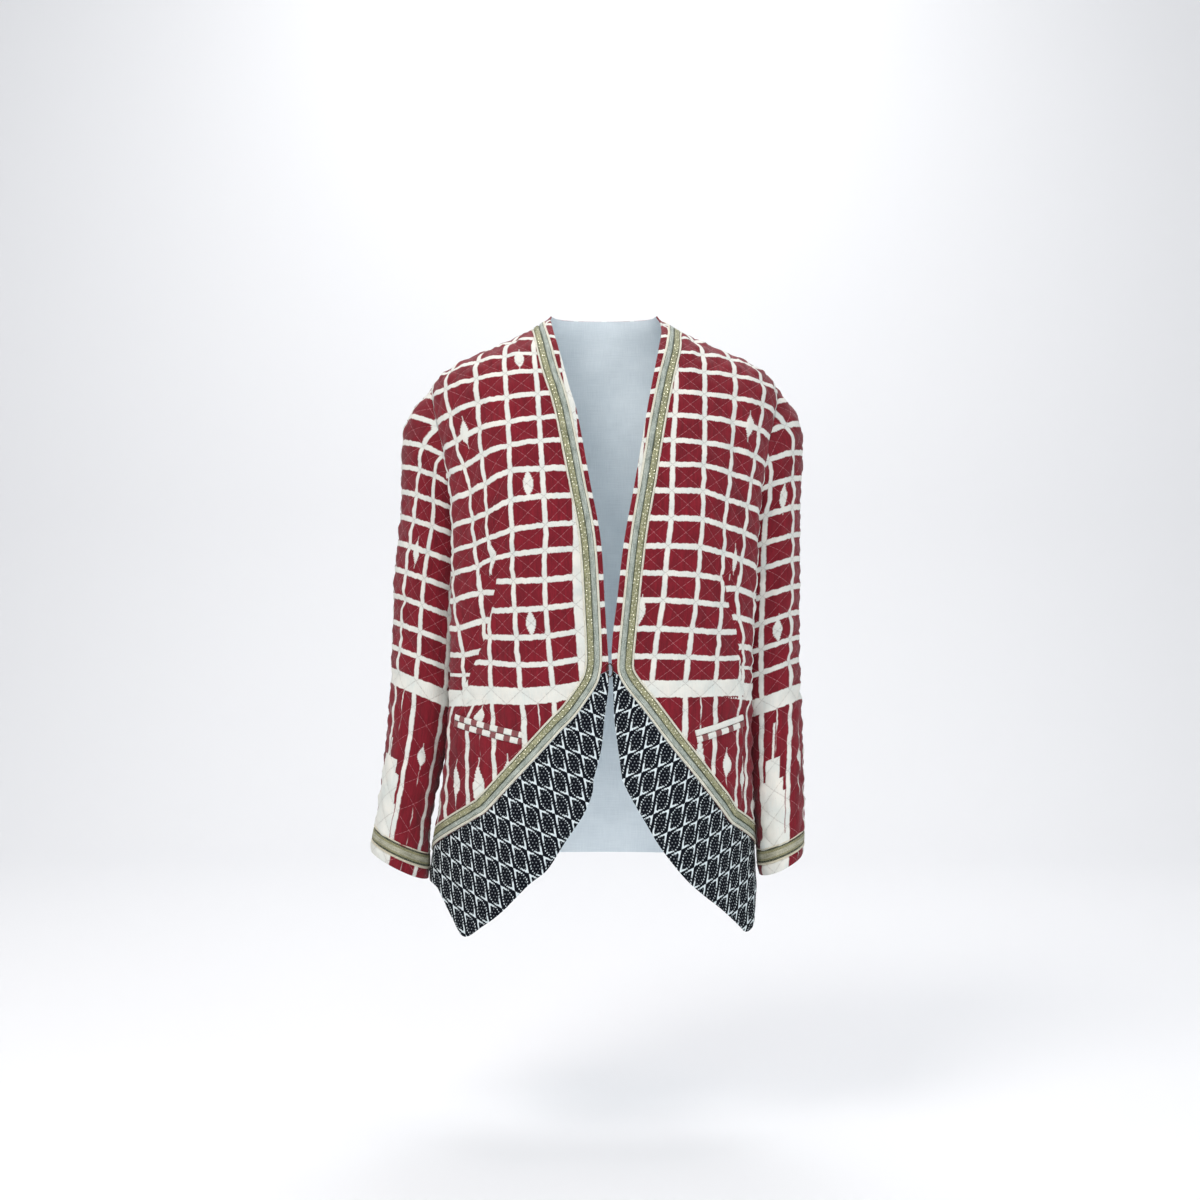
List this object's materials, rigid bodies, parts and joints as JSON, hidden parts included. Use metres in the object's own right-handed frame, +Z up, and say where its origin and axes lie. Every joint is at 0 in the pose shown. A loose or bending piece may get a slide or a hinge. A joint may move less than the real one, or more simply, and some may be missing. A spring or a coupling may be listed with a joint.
{
  "type": "patchwork jacket",
  "caption": "Quilted ikat jacket without a collar, braid-edged deep V neck, cutaway navy front points, long sleeves, worn hollow form.",
  "frame": {"origin": "between the neck points, where the wearer's shoulders carry the jacket", "axes": "+Z up, -Y out of the jacket's front, +X towards the wearer's left side"},
  "size_m": [0.5131, 0.234, 0.7237],
  "materials": {
    "ikat_cloth": "matte quilted cotton and silk ikat",
    "navy_cloth": "matte, beaded ikat",
    "braid": "satin",
    "welt_cloth": "matte",
    "closure_steel": "dark"
  },
  "bodies": {
    "root": {"back": "ikat_cloth", "braid_back_neck": "braid", "braid_cuff_left": "braid", "braid_cuff_right": "braid", "braid_front_left": "braid", "braid_front_right": "braid", "cutaway_panel_left": "navy_cloth", "cutaway_panel_right": "navy_cloth", "eye": "closure_steel", "front_left": "ikat_cloth", "front_right": "ikat_cloth", "hook": "closure_steel", "pocket_welt_lower_left": "welt_cloth", "pocket_welt_lower_right": "welt_cloth", "pocket_welt_upper_left": "welt_cloth", "pocket_welt_upper_right": "welt_cloth", "sleeve_left": "ikat_cloth", "sleeve_right": "ikat_cloth"}
  },
  "joints": []
}
